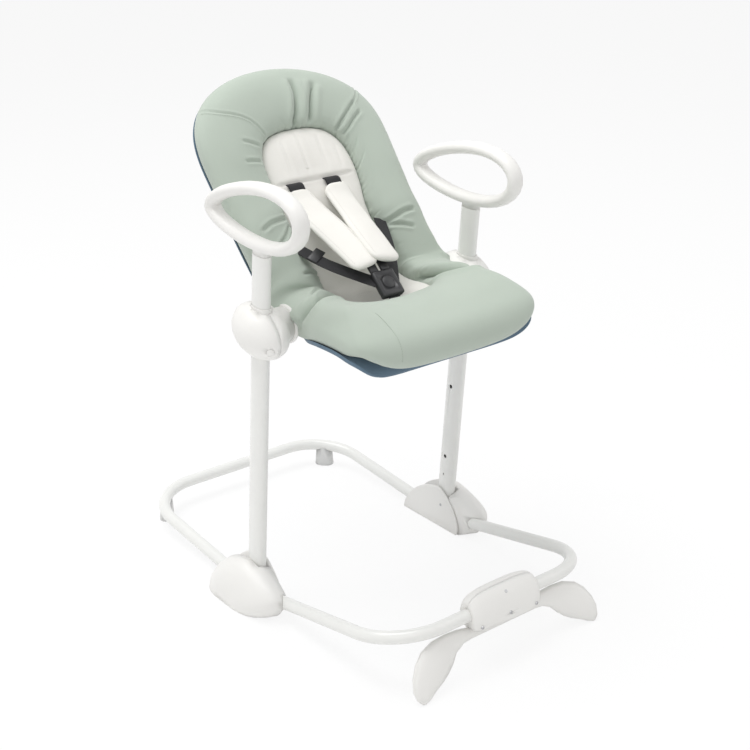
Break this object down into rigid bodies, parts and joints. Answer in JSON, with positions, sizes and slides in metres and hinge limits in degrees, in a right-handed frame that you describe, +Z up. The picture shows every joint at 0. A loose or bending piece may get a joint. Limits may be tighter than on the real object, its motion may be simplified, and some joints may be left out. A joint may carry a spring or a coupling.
{
  "type": "baby bouncer",
  "caption": "Baby bouncer: reclining padded seat with harness, sliding on two posts with loop handles, on a looped tube base with a front foot.",
  "frame": {"origin": "on the floor, under the centre of the bounding box", "axes": "+Z up, -Y is where the child faces, +X is the child's left"},
  "size_m": [0.6018, 0.8976, 0.9444],
  "materials": {
    "white_enamel": "satin",
    "white_plastic": "satin",
    "pale_rubber": "matte",
    "steel": "brushed",
    "grey_plastic": "matte",
    "dark_plastic": "satin",
    "sage_cloth": "matte",
    "cream_cloth": "matte",
    "slate_cloth": "matte",
    "black_webbing": "woven"
  },
  "bodies": {
    "base": {"base_front_tube": "white_enamel", "base_rear_tube": "white_enamel", "foot_shell_outer_L": "white_plastic", "foot_shell_outer_R": "white_plastic", "foot_shell_inner_L": "white_plastic", "foot_shell_inner_R": "white_plastic", "fold_axle_L": "steel", "fold_axle_R": "steel", "rear_foot_L": "pale_rubber", "rear_foot_R": "pale_rubber", "front_foot_cover": "white_plastic", "front_foot_base": "white_plastic"},
    "uprights": {"upright_L": "white_enamel", "upright_R": "white_enamel", "upright_end_lug_L": "white_plastic", "upright_end_lug_R": "white_plastic", "loop_handle_L": "white_plastic", "loop_handle_R": "white_plastic"},
    "hubs": {"hub_outer_shell_L": "white_plastic", "hub_outer_shell_R": "white_plastic", "hub_inner_shell_L": "white_plastic", "hub_inner_shell_R": "white_plastic", "glide_bush_L": "white_plastic", "glide_bush_R": "white_plastic", "recline_axle_L": "steel", "recline_axle_R": "steel"},
    "button_left": {"release_button_L": "white_plastic"},
    "button_right": {"release_button_R": "white_plastic"},
    "seat": {"seat_cushion": "sage_cloth", "centre_pad": "cream_cloth", "seat_sling": "slate_cloth", "seat_frame_tube": "white_enamel", "recline_disc_L": "white_plastic", "recline_disc_R": "white_plastic", "seat_bracket_L": "grey_plastic", "seat_bracket_R": "grey_plastic", "shoulder_pad_L": "cream_cloth", "shoulder_pad_R": "cream_cloth", "shoulder_web_L": "black_webbing", "shoulder_web_R": "black_webbing", "buckle_tongue_L": "dark_plastic", "buckle_tongue_R": "dark_plastic", "waist_web_L": "black_webbing", "waist_web_R": "black_webbing", "waist_adjuster": "dark_plastic", "buckle_body": "grey_plastic", "crotch_web": "black_webbing"},
    "buckle_press": {"buckle_button": "dark_plastic"}
  },
  "joints": [
    {"name": "uprights_fold", "type": "hinge", "parent": "base", "child": "uprights", "pos_m": [0, 0.01211, 0.048], "axis": [-1, 0, 0], "range_deg": [0, 78]},
    {"name": "seat_height", "type": "slide", "parent": "uprights", "child": "hubs", "axis": [0, -0.0809, 0.9967], "range_m": [-0.4, 0]},
    {"name": "seat_recline", "type": "hinge", "parent": "hubs", "child": "seat", "pos_m": [0, -0.02982, 0.56464], "axis": [-1, 0, 0], "range_deg": [0, 30]},
    {"name": "release_press_left", "type": "slide", "parent": "hubs", "child": "button_left", "axis": [-0.5208, 0.7912, 0.3205], "range_m": [0, 0.003], "stiffness_N_per_m": 800},
    {"name": "release_press_right", "type": "slide", "parent": "hubs", "child": "button_right", "axis": [0.5208, 0.7912, 0.3205], "range_m": [0, 0.003], "stiffness_N_per_m": 800},
    {"name": "buckle_press", "type": "slide", "parent": "seat", "child": "buckle_press", "axis": [0, 0.6691, -0.7431], "range_m": [0, 0.003], "stiffness_N_per_m": 800}
  ]
}
